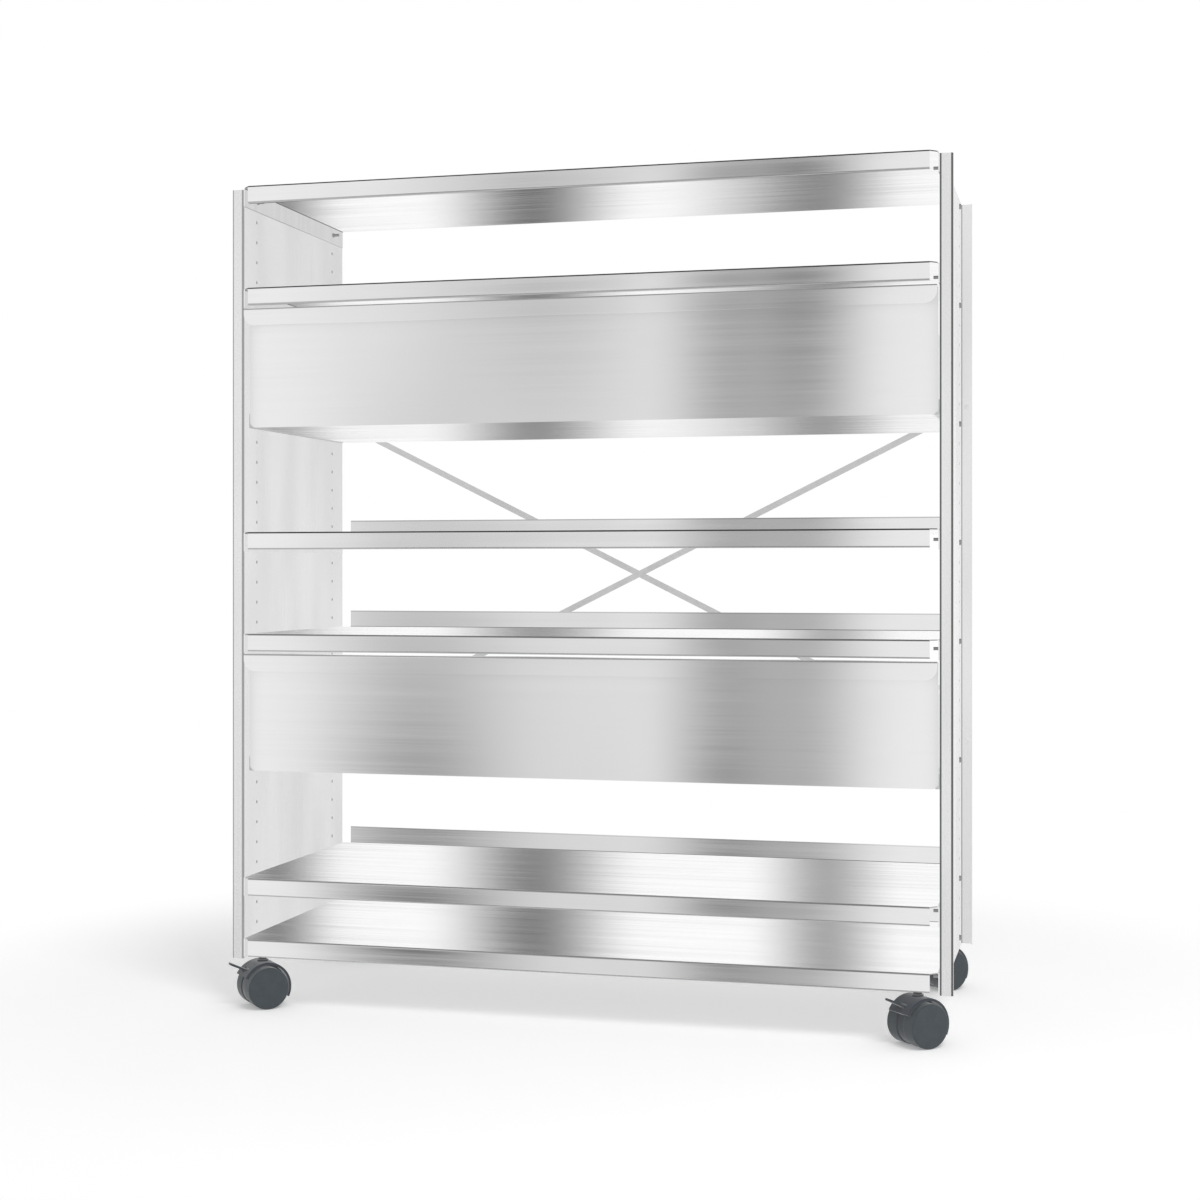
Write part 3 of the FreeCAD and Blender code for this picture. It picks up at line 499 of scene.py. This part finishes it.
def dress_nodes():
    """Gives each CAD piece its material; the metal's gloss shows the studio only."""
    materials = slot_materials()
    special = node_materials()
    for part in frame["record"]["subparts"]:
        piece = frame["nodes"][part["node"]]
        piece.data.materials.clear()
        look = special.get(part["node"], materials[part["material_slot"]])
        piece.data.materials.append(look)
        piece.visible_glossy = False


# --- World, floor, lamp and camera -------------------------------------------
def add_to_scene(name, data):
    piece = bpy.data.objects.new(name, data)
    bpy.context.scene.collection.objects.link(piece)
    return piece


def studio_level(shader):
    """Brightness of the studio in each direction, with its gaps and its ceiling."""
    direction = shader.node("ShaderNodeTexCoord").outputs["Generated"]
    parts = shader.split(direction)
    toward_front = shader.math("MULTIPLY", parts["Y"], -1.0)
    turn = shader.math("ARCTAN2", parts["X"], toward_front)
    azimuth = shader.math("MULTIPLY", turn, math.degrees(1.0))
    rise = shader.math("MULTIPLY", shader.math("ARCSINE", parts["Z"]), math.degrees(1.0))
    level = shader.window(parts["Y"], BACK_START, BACK_FULL, FRONT_LEVEL, BACK_LEVEL)
    side_gaps = tuple(
        (place, half_width, dark, dark * HORIZON_SHARE, dark, 0.0)
        for place, half_width, dark in SIDE_GAPS
    )
    for place, half_width, below, middle, above, lean in STUDIO_GAPS + side_gaps:
        lower = shader.window(rise, -GAP_TURNOVER, 0.0, below, middle)
        upper = shader.window(rise, 0.0, GAP_TURNOVER, 0.0, above - middle)
        darkness = shader.math("ADD", lower, upper)
        leaned = shader.math("MULTIPLY", rise, lean)
        off = shader.math("SUBTRACT", shader.math("SUBTRACT", azimuth, place), leaned)
        depth = shader.window(shader.math("ABSOLUTE", off), 0.0, half_width, 1.0, 0.0)
        shade = shader.math("SUBTRACT", 1.0, shader.math("MULTIPLY", depth, darkness))
        level = shader.math("MULTIPLY", level, shade)
    ceiling = shader.window(rise, CEILING_START, CEILING_END, 1.0, CEILING_LEVEL)
    return shader.math("MULTIPLY", level, ceiling)


def studio_world():
    """White page for the camera, and the studio for everything else."""
    world = bpy.data.worlds.new("studio")
    bpy.context.scene.world = world
    world.use_nodes = True
    shader = Shader(world.node_tree)
    studio = shader.white("ShaderNodeBackground", studio_level(shader))
    page = shader.white("ShaderNodeBackground", PAGE_LEVEL)
    seen = shader.node("ShaderNodeLightPath").outputs["Is Camera Ray"]
    out = world.node_tree.nodes["World Output"]
    shader.feed(out.inputs["Surface"], shader.either(seen, studio, page))


def floor_material():
    """Pale floor that fades into the white page away from the object."""
    material, shader, surface, place = new_material("floor")
    surface.inputs["Base Color"].default_value = FLOOR_COLOUR
    surface.inputs["Roughness"].default_value = 1.0
    surface.inputs["Specular IOR Level"].default_value = 0.0
    away = shader.node("ShaderNodeVectorMath", {0: place}, operation="LENGTH").outputs["Value"]
    fade = shader.window(away, FLOOR_FADE_START, FLOOR_FADE_END, 0.0, 1.0)
    seen = shader.node("ShaderNodeLightPath").outputs["Is Camera Ray"]
    lift = shader.white("ShaderNodeEmission", shader.math("MULTIPLY", seen, FLOOR_LIFT))
    near = shader.node("ShaderNodeAddShader", {0: surface.outputs[0], 1: lift}).outputs[0]
    page = shader.white("ShaderNodeEmission", PAGE_LEVEL)
    out = material.node_tree.nodes["Material Output"]
    faded = shader.either(shader.math("MULTIPLY", fade, seen), near, page)
    shader.feed(out.inputs["Surface"], faded)
    return material


def floor():
    half = FLOOR_SIZE / 2
    mesh = bpy.data.meshes.new("floor")
    corners = [(-half, -half, 0), (half, -half, 0), (half, half, 0), (-half, half, 0)]
    mesh.from_pydata(corners, [], [(0, 1, 2, 3)])
    mesh.materials.append(floor_material())
    piece = add_to_scene("floor", mesh)
    piece.visible_glossy = False


def soft_lamp():
    """Soft box aimed at the middle of the object; it lights without showing in the metal."""
    data = bpy.data.lights.new("key", "AREA")
    data.shape = "SQUARE"
    data.size = LAMP_SIZE
    data.energy = LAMP_POWER
    lamp = add_to_scene("key", data)
    lamp.location = LAMP_PLACE
    aim = Vector(LAMP_AIM) - Vector(LAMP_PLACE)
    lamp.rotation_euler = aim.to_track_quat("-Z", "Y").to_euler()
    lamp.visible_glossy = False
    lamp.visible_camera = False


def camera():
    data = bpy.data.cameras.new("camera")
    data.sensor_width = SENSOR_WIDTH
    data.lens = CAMERA_LENS
    data.shift_y = CAMERA_SHIFT_Y
    piece = add_to_scene("camera", data)
    piece.location = CAMERA_PLACE
    piece.rotation_euler = (math.radians(CAMERA_PITCH), 0.0, math.radians(CAMERA_TURN))
    bpy.context.scene.camera = piece


def main():
    bpy.context.scene.view_settings.view_transform = "Standard"
    camera()
    studio_world()
    floor()
    soft_lamp()
    dress_nodes()


main()
